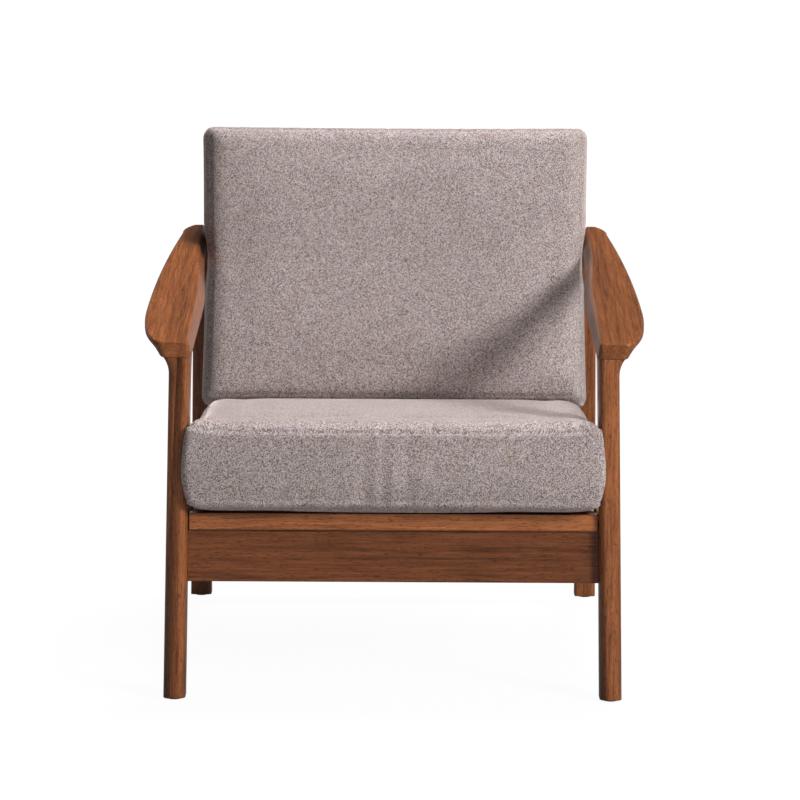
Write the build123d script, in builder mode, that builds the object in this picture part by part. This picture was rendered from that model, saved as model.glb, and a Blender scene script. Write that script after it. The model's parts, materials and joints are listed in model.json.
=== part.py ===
"""Lounge armchair: a raked hardwood frame with paddle arms, a drop-in slatted seat deck,
a slatted back frame and two loose box cushions.

Millimetres. The front faces -Y, up is +Z, and the origin is on the floor under the middle of the chair.
"""

import os
from math import cos, radians, sin, tan

from build123d import *

os.makedirs("parts", exist_ok=True)

# Stance
cushion_overhang = 42.0  # seat cushion's nose in front of the front legs' centre line
wheelbase = 650.0  # front foot centre to rear foot centre
frame_half = 293.0  # middle of the chair to the inner faces of rear legs and side rails

# Front legs
foot_set_out = 2.5  # inner edge of a front foot outside the frame's inner faces
foot_width = 31.5
neck_width = 30.0
neck_height = 470.0
leg_splay = 1.14  # degrees that a front leg leans in
foot_front, foot_back = 17.0, 16.0  # foot depth before and behind its centre line
leg_front, leg_back = 20.0, 20.0  # depth at the shoulder
shoulder_height = 430.0
horn_reach = 45.0  # leg width where the horn meets the arm
horn_height = 501.0
heel_reach = 42.0  # depth behind the centre line where the leg meets the arm
front_round = 11.0
back_round = 3.0

# Rear legs, aimed from their feet at the back frame's upper bolts
rear_foot_width = 33.0
rear_top_width = 23.0
rear_foot_half = 16.0
rear_top_half = 19.0
rear_round = 5.0

# Arms
arm_slope = 7.8  # degrees up towards the rear
arm_height = 520.0  # top face above the front legs' centre line
arm_thickness = 22.0
arm_tail = 20.4  # rear end behind the rear legs' centre line, along the slope
arm_width = 70.0  # at the widest place
arm_overlap = 5.0  # top inner edge inside the frame's inner faces
arm_undercut = 8.0  # how far the underside stands inside the top inner edge
arm_edge = 7.0  # height of the upright outer edge above the bevel
arm_bevel = 24.0
arm_tip = 30.0  # width of the rear end
tail_shift = 14.0  # rear end's inner edge outside the front's
arm_round = 3.0
nose_length = 140.0  # front legs' centre line to the widest place
nose_shape = ((0.086, 13.0), (0.371, 5.0))  # share of the nose's length, drop inside the widest line
nose_under = ((0.03, 3.5), (0.371, 1.0))  # the same at the underside, over the leg's horn
front_bevel = 3.5  # the underside's outer front corner inside the top's
front_corner = (4.0, 10.5)  # inner front corner's radius at the top and at the underside
arm_bow = 7.5  # drop of the outer edge half way from the widest place to the tail
tail_round = 46.0  # length of the rounded outer corner behind
tail_shape = (0.39, 5.0)  # share of that length, drop there
swing_start = 230.0  # where the inner edge begins to swing out
tail_straight = 106.0  # straight inner edge at the rear

# Rails between the legs
apron_bottom = 171.0
apron_height = 75.0
apron_thickness = 18.0
apron_setback = 17.0  # apron face behind the front face of the legs
side_rail_height = 75.0
side_rail_thickness = 20.0
rear_apron_bottom = 120.0
rear_apron_height = 70.0
block_leg = 52.0
block_height = 40.0
block_rise = 4.0  # above the aprons' lower edges
block_relief = 7.0  # front blocks stand clear of the leg's corner
batten_sink = 4.0  # screw heads below the battens' faces
block_seat = 14.0  # wood under the block screws' heads
block_screw_along = 28.6  # from the block's corner
block_screw_low = 12.0
block_screw_high = 28.0

# Seat deck
seat_rake = 5.5  # degrees down towards the rear
deck_thickness = 24.0
deck_overhang = 5.0  # front rail in front of the apron
deck_length = 490.0
deck_side_gap = 1.5  # front rail's end to the leg
deck_back_gap = 0.8  # rear rail to the back frame, at the deck's underside
rail_width = 30.0
slat_thickness = 10.0
slat_width = 52.0
slat_count = 6
batten_size = 18.0
batten_length = 370.0
batten_back = 15.0  # behind the deck's front rail
batten_screw_inset = 40.0
slat_end_gap = 2.0

# Back frame
back_lean = 18.0  # degrees from upright
back_height = 515.0  # above the deck, along the slope
stile_foot = 74.0  # below the deck, along the slope
stile_width = 32.0
stile_depth = 24.0
back_rail_width = 52.0
bottom_rail_rise = 32.0
back_slat_count = 5
back_slat_width = 46.0
back_slat_thickness = 12.0
tenon = 8.0
back_slat_inset = 3.0  # slats behind the face of the rails
edge_round = 3.0

# Cushions
cushion_gap = 0.5  # soft solid to its neighbours
leg_gap = 1.2  # seat cushion to the front legs
seat_boxing = 111.0
seat_crown = 25.0
back_boxing = 108.0
back_crown = 26.0
back_cushion_height = 436.0  # along the slope
press_angle = 8.0  # degrees that the back cushion presses the seat's rear down
press_reach = 165.0  # the pressed part, from the seat's rear
cushion_corner = 16.0
nose_bulge = 4.0  # how far the middle of the seat's nose stands out
side_draw = 3.0  # how far the sides pull in between the corners
top_draw = 1.5  # how far the back cushion's top sags between its corners
crown_reach = 70.0  # edge to the flat of the crown
rear_hold = 50.0  # the seat's seams draw in from here, so its crown runs on under the back cushion
seam_inset = 5.0
cover_thickness = 2.0
core_gap = 1.0
zip_width = 8.0
zip_length = 420.0
zip_depth = 1.4
zip_gap = 0.3
zip_inset = 40.0
waist_angle = 228.0  # where the seat's nose turns back round the legs

# Fasteners
dowel_diameter = 8.0
dowel_half = 17.0
glue_gap = 0.1
hole_end_gap = 1.0
dowel_step = 9.0  # arm dowels either side of the legs' centre lines
arm_dowel_back = 4.0  # front arm dowels behind the legs' centre line
rail_dowel_inset = 16.0  # from the rails' edges
apron_dowel_drop = 22.0  # below the front apron's top
rail_dowel_low, rail_dowel_high = 18.0, 14.0  # below and above the side rails' middle
back_dowel_inset = 14.0
bolt_diameter = 6.0
bolt_head = 11.0
bolt_head_height = 3.5
bolt_sink = 4.0
bolt_drop = 29.0  # upper bolts below the arms, along the stiles
bolt_below_deck = 42.0
insert_diameter = 10.0
insert_length = 15.0
screw_diameter = 4.0
screw_head = 8.0
screw_head_height = 3.0
screw_bite = 12.0
glide_diameter = 24.0
glide_height = 2.5
glide_taper = 1.0

# Places that follow from the sizes above
overall_depth = cushion_overhang + wheelbase + rear_foot_half
leg_y = -overall_depth / 2 + cushion_overhang
rear_foot_y = leg_y + wheelbase
over_top = arm_height * 1.3
foot_inner = frame_half + foot_set_out
arm_inner = frame_half - arm_overlap
BASE = (Align.CENTER, Align.CENTER, Align.MIN)

arm_top = Plane((0, leg_y, arm_height), (1, 0, 0), (0, -sin(radians(arm_slope)), cos(radians(arm_slope))))
arm_under = arm_top.offset(-arm_thickness)

apron_y = leg_y - leg_front + apron_setback
apron_top = apron_bottom + apron_height
deck_under = Plane((0, apron_y, apron_top), (1, 0, 0), (0, sin(radians(seat_rake)), cos(radians(seat_rake))))
deck_top = deck_under.offset(deck_thickness)
deck_front = -deck_overhang
deck_rear = deck_front + deck_length

back_origin = deck_top.from_local_coords(Vector(0, deck_rear, 0))
back_face = Plane(back_origin, (1, 0, 0), (0, -cos(radians(back_lean)), sin(radians(back_lean))))


def leg_inner(z):
    """Inner face of a front leg at a height."""
    return foot_inner - z * tan(radians(leg_splay))


def arm_under_z(reach):
    """Height of the arm's underside at a distance behind the front legs' centre line."""
    return arm_height - arm_thickness / cos(radians(arm_slope)) + reach * tan(radians(arm_slope))


def meets(start, along, plane):
    """Where a line meets a plane."""
    return start + along * ((plane.origin - start).dot(plane.z_dir) / along.dot(plane.z_dir))


def rear_leg_y(z):
    """Centre line of a rear leg at a height."""
    return rear_foot_y - rear_lean * z


def rear_width(z):
    """Width of a rear leg at a height."""
    return rear_foot_width - (rear_foot_width - rear_top_width) * z / rear_leg_height


def mirrored(plane):
    """The plane on the other side of the chair."""
    origin = (-plane.origin.X, plane.origin.Y, plane.origin.Z)
    return Plane(origin, z_dir=(-plane.z_dir.X, plane.z_dir.Y, plane.z_dir.Z))


def both_sides(planes):
    """The planes with their mirror images."""
    return planes + [mirrored(plane) for plane in planes]


def bars(planes, diameter, back, ahead, mode=Mode.ADD):
    """A round bar along each plane's normal, from behind its origin to ahead of it."""
    with Locations(*[plane.offset(-back) for plane in planes]):
        Cylinder(diameter / 2, back + ahead, align=BASE, mode=mode)


def dowel_holes(planes):
    """Holes for dowels that are centred on the planes."""
    reach = dowel_half + hole_end_gap
    bars(planes, dowel_diameter + 2 * glue_gap, reach, reach, Mode.SUBTRACT)


def screw_holes(planes, through):
    """Sunk holes for screws whose heads sit on the planes' origins, pointing along the normals."""
    bars(planes, screw_diameter + 2 * glue_gap, 0, through + screw_bite + hole_end_gap, Mode.SUBTRACT)
    bars(planes, screw_head + 2 * glue_gap, block_leg, 0, Mode.SUBTRACT)


def screws(planes, through):
    """Pan-head screws on the planes."""
    bars(planes, screw_diameter, 0, through + screw_bite)
    bars(planes, screw_head, screw_head_height, 0)


def upright(edge):
    """Whether an edge climbs, as the long edges of the legs do."""
    return edge.bounding_box().size.Z > leg_back


def keep(piece, name):
    """Label a piece and write it."""
    piece.part.label = name
    export_step(piece.part, f"parts/{name}.step")


def keep_pair(piece, name):
    """Write the right-hand piece and its mirror image."""
    with BuildPart() as left_piece:
        mirror(piece.part, about=Plane.YZ)
    keep(piece, f"right_{name}")
    keep(left_piece, f"left_{name}")


# Each rear leg leans from its foot through its bolt to the arm
stile_mid = back_face.offset(-stile_depth / 2)
lower_bolt = stile_mid.origin - stile_mid.y_dir * bolt_below_deck
upper_bolt = meets(stile_mid.origin, stile_mid.y_dir, arm_under) - stile_mid.y_dir * bolt_drop
rear_lean = (rear_foot_y - upper_bolt.Y) / upper_bolt.Z
rear_leg_height = arm_under_z(wheelbase) / (1 + rear_lean * tan(radians(arm_slope)))
rear_rake = rear_lean * rear_leg_height

# Fastener axes on the right-hand side
front_arm_x = leg_inner(horn_height) + neck_width / 2
rear_arm_x = frame_half + rear_top_width / 2
rear_arm_s = (wheelbase - rear_rake) / cos(radians(arm_slope))
arm_length = rear_arm_s + arm_tail
arm_dowel_seats = [
    Plane(arm_under.from_local_coords(Vector(x, s + step, 0)), z_dir=arm_under.z_dir)
    for x, s in ((front_arm_x, arm_dowel_back), (rear_arm_x, rear_arm_s))
    for step in (-dowel_step, dowel_step)
]
apron_mid = apron_y + apron_thickness / 2
apron_dowel_z = (apron_bottom + rail_dowel_inset, apron_top - apron_dowel_drop)
apron_dowel_seats = [Plane((leg_inner(z), apron_mid, z), z_dir=(1, 0, 0)) for z in apron_dowel_z]
rear_apron_y = rear_leg_y(rear_apron_bottom + rear_apron_height / 2)
rear_dowel_z = [rear_apron_bottom + z for z in (rail_dowel_inset, rear_apron_height - rail_dowel_inset)]
rear_dowel_seats = [Plane((frame_half, rear_apron_y, z), z_dir=(1, 0, 0)) for z in rear_dowel_z]

# The side rails run along the deck from the front leg's back face to the rear leg's front face
rail_mid = deck_thickness - side_rail_height / 2
rail_x = frame_half + side_rail_thickness / 2
leg_back_slope = (leg_back - foot_back) / shoulder_height
leg_back_face = Plane((0, leg_y + foot_back, 0), (1, 0, 0), (0, 1, -leg_back_slope))
rear_front_slope = (rear_rake + rear_top_half - rear_foot_half) / rear_leg_height
rear_front_face = Plane((0, rear_foot_y - rear_foot_half, 0), (1, 0, 0), (0, 1, rear_front_slope))


def rail_end(face, rise):
    """Where a line along the deck, at a rise above its underside, meets an end face."""
    return meets(deck_under.from_local_coords(Vector(rail_x, 0, rise)), deck_under.y_dir, face)


rail_dowel_seats = [
    Plane(rail_end(face, rail_mid + step), z_dir=deck_under.y_dir)
    for face in (leg_back_face, rear_front_face)
    for step in (-rail_dowel_low, rail_dowel_high)
]
# Bolts point inwards, from the outer faces of the side rails and the rear legs into the stiles
bolt_seats = [
    Plane((frame_half + width - bolt_sink, place.Y, place.Z), z_dir=(-1, 0, 0))
    for width, place in ((side_rail_thickness, lower_bolt), (rear_width(upper_bolt.Z), upper_bolt))
]
bolt_reach = [plane.origin.X - frame_half + insert_length for plane in bolt_seats]
insert_seats = [Plane((frame_half, p.origin.Y, p.origin.Z), z_dir=(-1, 0, 0)) for p in bolt_seats]

# Screws through battens, slats and corner blocks
batten_start = deck_front + rail_width + batten_back
batten_screw_x = frame_half - batten_size + batten_sink
batten_middle = batten_start + batten_length / 2
batten_reach = batten_length / 2 - batten_screw_inset
batten_seats = [
    Plane(deck_under.from_local_coords(Vector(batten_screw_x, s, -batten_size / 2)), z_dir=(1, 0, 0))
    for s in (batten_middle - batten_reach, batten_middle, batten_middle + batten_reach)
]
slat_start = deck_front + rail_width
deck_end = deck_rear - deck_thickness * tan(radians(back_lean - seat_rake)) - deck_back_gap
slat_end = deck_end - rail_width
slat_pitch = (slat_end - slat_start) / slat_count
slat_places = [slat_start + slat_pitch * (i + 0.5) for i in range(slat_count)]
deck_half = leg_inner(apron_top + deck_thickness) - deck_side_gap
slat_half = deck_half - slat_end_gap
slat_screw_x = deck_half - rail_width / 2
slat_seats = [
    Plane(deck_top.from_local_coords(Vector(slat_screw_x, s, -screw_head_height)), z_dir=-deck_top.z_dir)
    for s in slat_places
]
deck_dowel_seats = [
    Plane(deck_under.from_local_coords(Vector(slat_screw_x, s, (deck_thickness - slat_thickness) / 2)),
          z_dir=deck_under.y_dir)
    for s in (slat_start, slat_end)
]
front_block_y = apron_y + apron_thickness
front_block_z = apron_bottom + block_rise
rear_block_y = rear_apron_y - apron_thickness / 2
rear_block_z = rear_apron_bottom + block_rise


def block_seats(corner, y, z, way):
    """Screws of a corner block at an apron's inner face: one into the apron, one into the side rail."""
    return [
        Plane((corner - block_screw_along, y + way * block_seat, z + block_screw_low), z_dir=(0, -way, 0)),
        Plane((corner - block_seat, y + way * block_screw_along, z + block_screw_high), z_dir=(1, 0, 0)),
    ]


front_block_seats = block_seats(frame_half, front_block_y, front_block_z, 1)
rear_block_seats = block_seats(frame_half, rear_block_y, rear_block_z, -1)

# Dowels of the back frame
stile_inner = frame_half - stile_width
top_rail_y = back_height - back_rail_width
back_dowel_seats = [
    Plane(back_face.from_local_coords(Vector(stile_inner, y, -stile_depth / 2)), z_dir=(1, 0, 0))
    for rail_y in (bottom_rail_rise, top_rail_y)
    for y in (rail_y + back_dowel_inset, rail_y + back_rail_width - back_dowel_inset)
]

back_slat_length = top_rail_y - bottom_rail_rise - back_rail_width + 2 * tenon
back_slat_mid = (top_rail_y + bottom_rail_rise + back_rail_width) / 2
back_slat_pitch = 2 * stile_inner / (back_slat_count + 1)
back_slat_places = [back_slat_pitch * (i - (back_slat_count - 1) / 2) for i in range(back_slat_count)]


def back_slat_slots():
    """Mortises for the slats' ends."""
    depth = back_slat_inset + back_slat_thickness / 2
    middles = [back_face.from_local_coords(Vector(x, back_slat_mid, -depth)) for x in back_slat_places]
    width = back_slat_width + 2 * glue_gap
    with Locations(*[Plane(middle, (1, 0, 0), back_face.z_dir) for middle in middles]):
        Box(width, back_slat_length + 2 * glue_gap, back_slat_thickness + 2 * glue_gap, mode=Mode.SUBTRACT)


def on_circle(centre, radius, angle):
    """The point of a circle at an angle in degrees."""
    return (centre[0] + radius * cos(radians(angle)), centre[1] + radius * sin(radians(angle)))


# Paddle arm: outlines on tilted planes, lofted, so that the outer side thins to a rounded edge
def arm_outline(inner_drop, outer_drop, edge):
    """Plan of the right arm; the drops go from 0 at the top face to 1 at the underside, edge draws it in."""
    outer = arm_inner + arm_width - arm_bevel * outer_drop - edge
    inner = arm_inner - arm_undercut * inner_drop + edge
    tail_inner = arm_inner + tail_shift - (arm_inner + tail_shift - frame_half) * inner_drop + edge
    tail_outer = arm_inner + tail_shift + arm_tip - arm_bevel / 2 * outer_drop - edge
    front = -leg_front - arm_thickness * tan(radians(arm_slope)) * inner_drop + edge
    corner = arm_inner + arm_width / 2 - front_bevel * outer_drop
    inner_front = arm_inner - arm_undercut / 2 * inner_drop + edge
    radius = front_corner[0] + (front_corner[1] - front_corner[0]) * inner_drop - edge
    middle = (inner_front + radius, front + radius)
    rear = arm_length - edge
    tail_end = (tail_inner + arm_tip / 3, rear)
    nose = [
        (outer - drop - (low_drop - drop) * outer_drop, nose_length * (share + (low_share - share) * outer_drop))
        for (share, drop), (low_share, low_drop) in zip(nose_shape, nose_under)
    ]
    widest = (outer, nose_length)
    tail_start = (tail_outer, arm_length - tail_round)
    tail_share, tail_drop = tail_shape
    swing_end = (tail_inner, arm_length - tail_straight)
    Line((middle[0], front), (corner, front))
    Spline((corner, front), *nose, widest, tangents=[(1, 0), (0, 1)], tangent_scalars=[0.9, 1])
    ThreePointArc(widest, (outer - arm_bow, (nose_length + tail_start[1]) / 2), tail_start)
    ThreePointArc(tail_start, (tail_outer - tail_drop, arm_length - tail_share * tail_round), tail_end)
    Line(tail_end, (tail_inner, rear))
    Line((tail_inner, rear), swing_end)
    Spline(swing_end, (inner, swing_start), tangents=[(0, -1), (0, -1)])
    Line((inner, swing_start), (inner_front, middle[1]))
    ThreePointArc((inner_front, middle[1]), on_circle(middle, radius, 225), (middle[0], front))


round_angles = [radians(angle) for angle in (0, 30, 60, 90)]
round_steps = [(arm_round * (1 - sin(angle)), 0, arm_round * (1 - cos(angle))) for angle in round_angles]
with BuildPart() as arm:
    for drop, outer_drop, edge in [(arm_thickness, 1, 0), (arm_edge, 0, 0)] + round_steps:
        with BuildSketch(arm_top.offset(-drop)):
            with BuildLine():
                arm_outline(drop / arm_thickness, outer_drop, edge)
            make_face()
    loft(ruled=True)
    dowel_holes(arm_dowel_seats)
keep_pair(arm, "arm")

# Front leg: two bandsawn profiles crossed, with the horn in one and the heel in the other
leg_outer_foot = foot_inner + foot_width
neck_outer = leg_inner(neck_height) + neck_width
horn_outer = leg_inner(horn_height) + horn_reach
heel_z = arm_under_z(heel_reach)
leg_front_y = leg_y - foot_front - (leg_front - foot_front) * over_top / arm_under_z(-leg_front)
with BuildPart() as front_leg:
    with BuildSketch(Plane.XZ.offset(-leg_y)):
        with BuildLine():
            Polyline(
                (leg_outer_foot, glide_height), (leg_inner(glide_height), glide_height),
                (leg_inner(over_top), over_top), (horn_outer, over_top), (horn_outer, horn_height),
            )
            TangentArc(
                (neck_outer, neck_height), (horn_outer, horn_height),
                tangent=(neck_outer - leg_outer_foot, neck_height),
            )
            Line((neck_outer, neck_height), (leg_outer_foot, glide_height))
        make_face()
    extrude(amount=wheelbase / 4, both=True)
    with BuildSketch(Plane.YZ):
        with BuildLine():
            Polyline(
                (leg_y + foot_back, 0), (leg_y - foot_front, 0), (leg_front_y, over_top),
                (leg_y + heel_reach, over_top), (leg_y + heel_reach, heel_z),
            )
            TangentArc(
                (leg_y + leg_back, shoulder_height), (leg_y + heel_reach, heel_z),
                tangent=(leg_back - foot_back, shoulder_height),
            )
            Line((leg_y + leg_back, shoulder_height), (leg_y + foot_back, 0))
        make_face()
    extrude(amount=arm_length, mode=Mode.INTERSECT)
    split(bisect_by=arm_under, keep=Keep.BOTTOM)
    fillet(front_leg.edges().filter_by(lambda e: upright(e) and e.center().Y < leg_y), front_round)
    leg_behind = leg_y + leg_back / 2
    fillet(front_leg.edges().filter_by(lambda e: upright(e) and e.center().Y > leg_behind), back_round)
    dowel_holes(arm_dowel_seats + apron_dowel_seats + rail_dowel_seats)
keep_pair(front_leg, "front_leg")

# Rear leg: flat inside, tapered outside, raked forward to the arm
with BuildPart() as rear_leg:
    with BuildSketch(Plane.XZ.offset(-rear_foot_y)):
        Polygon(
            (frame_half, glide_height), (frame_half + rear_foot_width, glide_height),
            (frame_half + rear_width(over_top), over_top), (frame_half, over_top), align=None,
        )
    extrude(amount=wheelbase / 4, both=True)
    with BuildSketch(Plane.YZ):
        lean = over_top / rear_leg_height
        Polygon(
            (rear_foot_y - rear_foot_half, 0), (rear_foot_y + rear_foot_half, 0),
            (rear_foot_y + rear_foot_half + (rear_top_half - rear_foot_half - rear_rake) * lean, over_top),
            (rear_foot_y - rear_foot_half - (rear_rake + rear_top_half - rear_foot_half) * lean, over_top),
            align=None,
        )
    extrude(amount=arm_length, mode=Mode.INTERSECT)
    split(bisect_by=arm_under, keep=Keep.BOTTOM)
    fillet(rear_leg.edges().filter_by(upright), rear_round)
    dowel_holes(arm_dowel_seats + rear_dowel_seats + rail_dowel_seats)
    bars(bolt_seats[1:], bolt_diameter + 2 * glue_gap, 0, bolt_reach[1], Mode.SUBTRACT)
    bars(bolt_seats[1:], bolt_head + 2 * glue_gap, rear_foot_width, 0, Mode.SUBTRACT)
keep_pair(rear_leg, "rear_leg")

# Side rail: parallel to the deck, cut square to the legs it joins
with BuildPart() as side_rail:
    with BuildSketch(Plane.YZ.offset(frame_half)):
        corners = [
            rail_end(face, rise)
            for face, rise in (
                (leg_back_face, deck_thickness), (leg_back_face, deck_thickness - side_rail_height),
                (rear_front_face, deck_thickness - side_rail_height), (rear_front_face, deck_thickness),
            )
        ]
        Polygon(*[(corner.Y, corner.Z) for corner in corners], align=None)
    extrude(amount=side_rail_thickness)
    fillet(side_rail.edges().filter_by(lambda e: e.length > wheelbase / 2).sort_by(Axis.Z)[-2:], edge_round)
    dowel_holes(rail_dowel_seats)
    bars(bolt_seats[:1], bolt_diameter + 2 * glue_gap, 0, bolt_reach[0], Mode.SUBTRACT)
    bars(bolt_seats[:1], bolt_head + 2 * glue_gap, side_rail_thickness, 0, Mode.SUBTRACT)
    screw_holes(batten_seats, batten_size - batten_sink)
    screw_holes(front_block_seats[1:] + rear_block_seats[1:], block_seat)
keep_pair(side_rail, "side_rail")

# Front apron: splayed ends on the legs, top planed to the deck's rake
with BuildPart() as front_apron:
    with BuildSketch(Plane.XZ.offset(-apron_y)):
        low, high = leg_inner(apron_bottom), leg_inner(apron_top)
        Polygon((-low, apron_bottom), (low, apron_bottom), (high, apron_top), (-high, apron_top), align=None)
    extrude(amount=-apron_thickness)
    split(bisect_by=deck_under, keep=Keep.BOTTOM)
    dowel_holes(both_sides(apron_dowel_seats))
    screw_holes(both_sides(front_block_seats[:1]), block_seat)
keep(front_apron, "front_apron")

# Rear apron between the rear legs
with BuildPart() as rear_apron:
    with BuildSketch(Plane.XY.offset(rear_apron_bottom)):
        with Locations((0, rear_apron_y)):
            Rectangle(2 * frame_half, apron_thickness)
    extrude(amount=rear_apron_height)
    fillet(rear_apron.edges().filter_by(Axis.X), edge_round)
    dowel_holes(both_sides(rear_dowel_seats))
    screw_holes(both_sides(rear_block_seats[:1]), block_seat)
keep(rear_apron, "rear_apron")

# Corner blocks: glued and screwed into the four inside corners
with BuildPart() as front_block:
    with BuildSketch(Plane.XY.offset(front_block_z)):
        relief = front_block_y + leg_back - leg_front + apron_setback
        Polygon(
            (frame_half - block_leg, front_block_y), (frame_half - block_relief, front_block_y),
            (frame_half - block_relief, relief), (frame_half, relief + block_relief),
            (frame_half, front_block_y + block_leg), align=None,
        )
    extrude(amount=block_height)
    screw_holes(front_block_seats, block_seat)
keep_pair(front_block, "front_corner_block")

with BuildPart() as rear_block:
    with BuildSketch(Plane.XY.offset(rear_block_z)):
        Polygon(
            (frame_half - block_leg, rear_block_y), (frame_half, rear_block_y),
            (frame_half, rear_block_y - block_leg), align=None,
        )
    extrude(amount=block_height)
    screw_holes(rear_block_seats, block_seat)
keep_pair(rear_block, "rear_corner_block")

# Battens on the side rails carry the deck
with BuildPart() as batten:
    with BuildSketch(deck_under):
        with Locations((frame_half - batten_size / 2, batten_start + batten_length / 2)):
            Rectangle(batten_size, batten_length)
    extrude(amount=-batten_size)
    screw_holes(batten_seats, batten_size - batten_sink)
keep_pair(batten, "seat_batten")

# Seat deck: a frame with low side rails, and slats laid between the front and rear rails
with BuildPart() as seat_front_rail:
    with BuildSketch(deck_under):
        with Locations((0, deck_front + rail_width / 2)):
            Rectangle(2 * deck_half, rail_width)
    extrude(amount=deck_thickness)
    fillet(seat_front_rail.edges().filter_by(Axis.X).group_by(Axis.Y)[0], edge_round)
    dowel_holes(both_sides(deck_dowel_seats[:1]))
keep(seat_front_rail, "seat_front_rail")

with BuildPart() as seat_rear_rail:
    with BuildSketch(deck_under):
        with Locations((0, deck_end - rail_width / 2)):
            Rectangle(2 * deck_half, rail_width)
    extrude(amount=deck_thickness)
    dowel_holes(both_sides(deck_dowel_seats[1:]))
keep(seat_rear_rail, "seat_rear_rail")

with BuildPart() as deck_side_rail:
    with BuildSketch(deck_under):
        with Locations((deck_half - rail_width / 2, (slat_start + slat_end) / 2)):
            Rectangle(rail_width, slat_end - slat_start)
    extrude(amount=deck_thickness - slat_thickness)
    dowel_holes(deck_dowel_seats)
    screw_holes(slat_seats, slat_thickness - screw_head_height)
with BuildPart() as deck_left_rail:
    mirror(deck_side_rail.part, about=Plane.YZ)
keep(deck_side_rail, "seat_right_rail")
keep(deck_left_rail, "seat_left_rail")

for number, place in enumerate(slat_places, 1):
    with BuildPart() as seat_slat:
        with BuildSketch(deck_top):
            with Locations((0, place)):
                RectangleRounded(2 * slat_half, slat_width, edge_round)
        extrude(amount=-slat_thickness)
        screw_holes(both_sides(slat_seats[number - 1:number]), slat_thickness - screw_head_height)
    keep(seat_slat, f"seat_slat_{number}")

# Back frame: two stiles, two rails and upright slats tenoned into the rails
with BuildPart() as stile:
    with BuildSketch(back_face):
        with Locations((frame_half - stile_width / 2, (back_height - stile_foot) / 2)):
            Rectangle(stile_width, back_height + stile_foot)
    extrude(amount=-stile_depth)
    fillet(stile.faces().sort_by(Axis.Z)[-1].edges(), edge_round)
    dowel_holes(back_dowel_seats)
    bars(insert_seats, insert_diameter + 2 * glue_gap, 0, insert_length, Mode.SUBTRACT)
with BuildPart() as left_stile:
    mirror(stile.part, about=Plane.YZ)
keep(stile, "back_right_stile")
keep(left_stile, "back_left_stile")

with BuildPart() as back_top_rail:
    with BuildSketch(back_face):
        with Locations((0, top_rail_y + back_rail_width / 2)):
            Rectangle(2 * stile_inner, back_rail_width)
    extrude(amount=-stile_depth)
    fillet(back_top_rail.edges().filter_by(Axis.X).group_by(Axis.Z)[-1], edge_round)
    back_slat_slots()
    dowel_holes(both_sides(back_dowel_seats))
keep(back_top_rail, "back_top_rail")

with BuildPart() as back_bottom_rail:
    with BuildSketch(back_face):
        with Locations((0, bottom_rail_rise + back_rail_width / 2)):
            Rectangle(2 * stile_inner, back_rail_width)
    extrude(amount=-stile_depth)
    back_slat_slots()
    dowel_holes(both_sides(back_dowel_seats))
keep(back_bottom_rail, "back_bottom_rail")

for number, place in enumerate(back_slat_places, 1):
    with BuildPart() as back_slat:
        with BuildSketch(back_face.offset(-back_slat_inset)):
            with Locations((place, back_slat_mid)):
                Rectangle(back_slat_width, back_slat_length)
        extrude(amount=-back_slat_thickness)
        fillet(back_slat.edges().filter_by(Axis((0, 0, 0), back_face.y_dir)), edge_round)
    keep(back_slat, f"back_slat_{number}")

# Fasteners and glides, each kind in one group
with BuildPart() as arm_dowels:
    bars(both_sides(arm_dowel_seats), dowel_diameter, dowel_half, dowel_half)
keep(arm_dowels, "arm_dowels")

with BuildPart() as rail_dowels:
    rail_seats = apron_dowel_seats + rear_dowel_seats + rail_dowel_seats
    bars(both_sides(rail_seats), dowel_diameter, dowel_half, dowel_half)
keep(rail_dowels, "rail_dowels")

with BuildPart() as deck_dowels:
    bars(both_sides(deck_dowel_seats), dowel_diameter, dowel_half, dowel_half)
keep(deck_dowels, "deck_dowels")

with BuildPart() as back_frame_dowels:
    bars(both_sides(back_dowel_seats), dowel_diameter, dowel_half, dowel_half)
keep(back_frame_dowels, "back_frame_dowels")

with BuildPart() as back_frame_bolts:
    for seat, reach in zip(bolt_seats, bolt_reach):
        bars(both_sides([seat]), bolt_diameter, 0, reach)
        bars(both_sides([seat]), bolt_head, bolt_head_height, 0)
keep(back_frame_bolts, "back_frame_bolts")

with BuildPart() as insert_nuts:
    bars(both_sides(insert_seats), insert_diameter, 0, insert_length)
    bars(both_sides(insert_seats), bolt_diameter + 2 * glue_gap, 0, insert_length, Mode.SUBTRACT)
keep(insert_nuts, "insert_nuts")

with BuildPart() as batten_screws:
    screws(both_sides(batten_seats), batten_size - batten_sink)
keep(batten_screws, "batten_screws")

with BuildPart() as slat_screws:
    screws(both_sides(slat_seats), slat_thickness - screw_head_height)
keep(slat_screws, "slat_screws")

with BuildPart() as block_screws:
    screws(both_sides(front_block_seats + rear_block_seats), block_seat)
keep(block_screws, "block_screws")

with BuildPart() as leg_glides:
    glide_places = [
        Plane((foot_inner + foot_width / 2, leg_y, 0)),
        Plane((frame_half + rear_foot_width / 2, rear_foot_y, 0)),
    ]
    with Locations(*both_sides(glide_places)):
        Cone(glide_diameter / 2 - glide_taper, glide_diameter / 2, glide_height, align=BASE)
keep(leg_glides, "leg_glides")


# Box cushions: a boxing band drawn in at its seams, and a crowned panel sewn to it
def drawn(point, half, centre, inset):
    """A point of an outline, drawn in towards the outline's centre."""
    share_x = 1 - inset / half[0]
    share_y = 1 - inset / half[1]
    return (point[0] * share_x, centre + (point[1] - centre) * share_y)


def outline(edges, half, centre, inset):
    """A closed outline from the edges of its right half: two points are a line, three an arc."""
    for edge in edges:
        ends = [drawn(point, half, centre, inset) for point in edge]
        others = [(-x, y) for x, y in ends]
        if len(edge) == 2:
            Line(*ends)
            Line(*others)
        else:
            ThreePointArc(*ends)
            ThreePointArc(*others)


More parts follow.
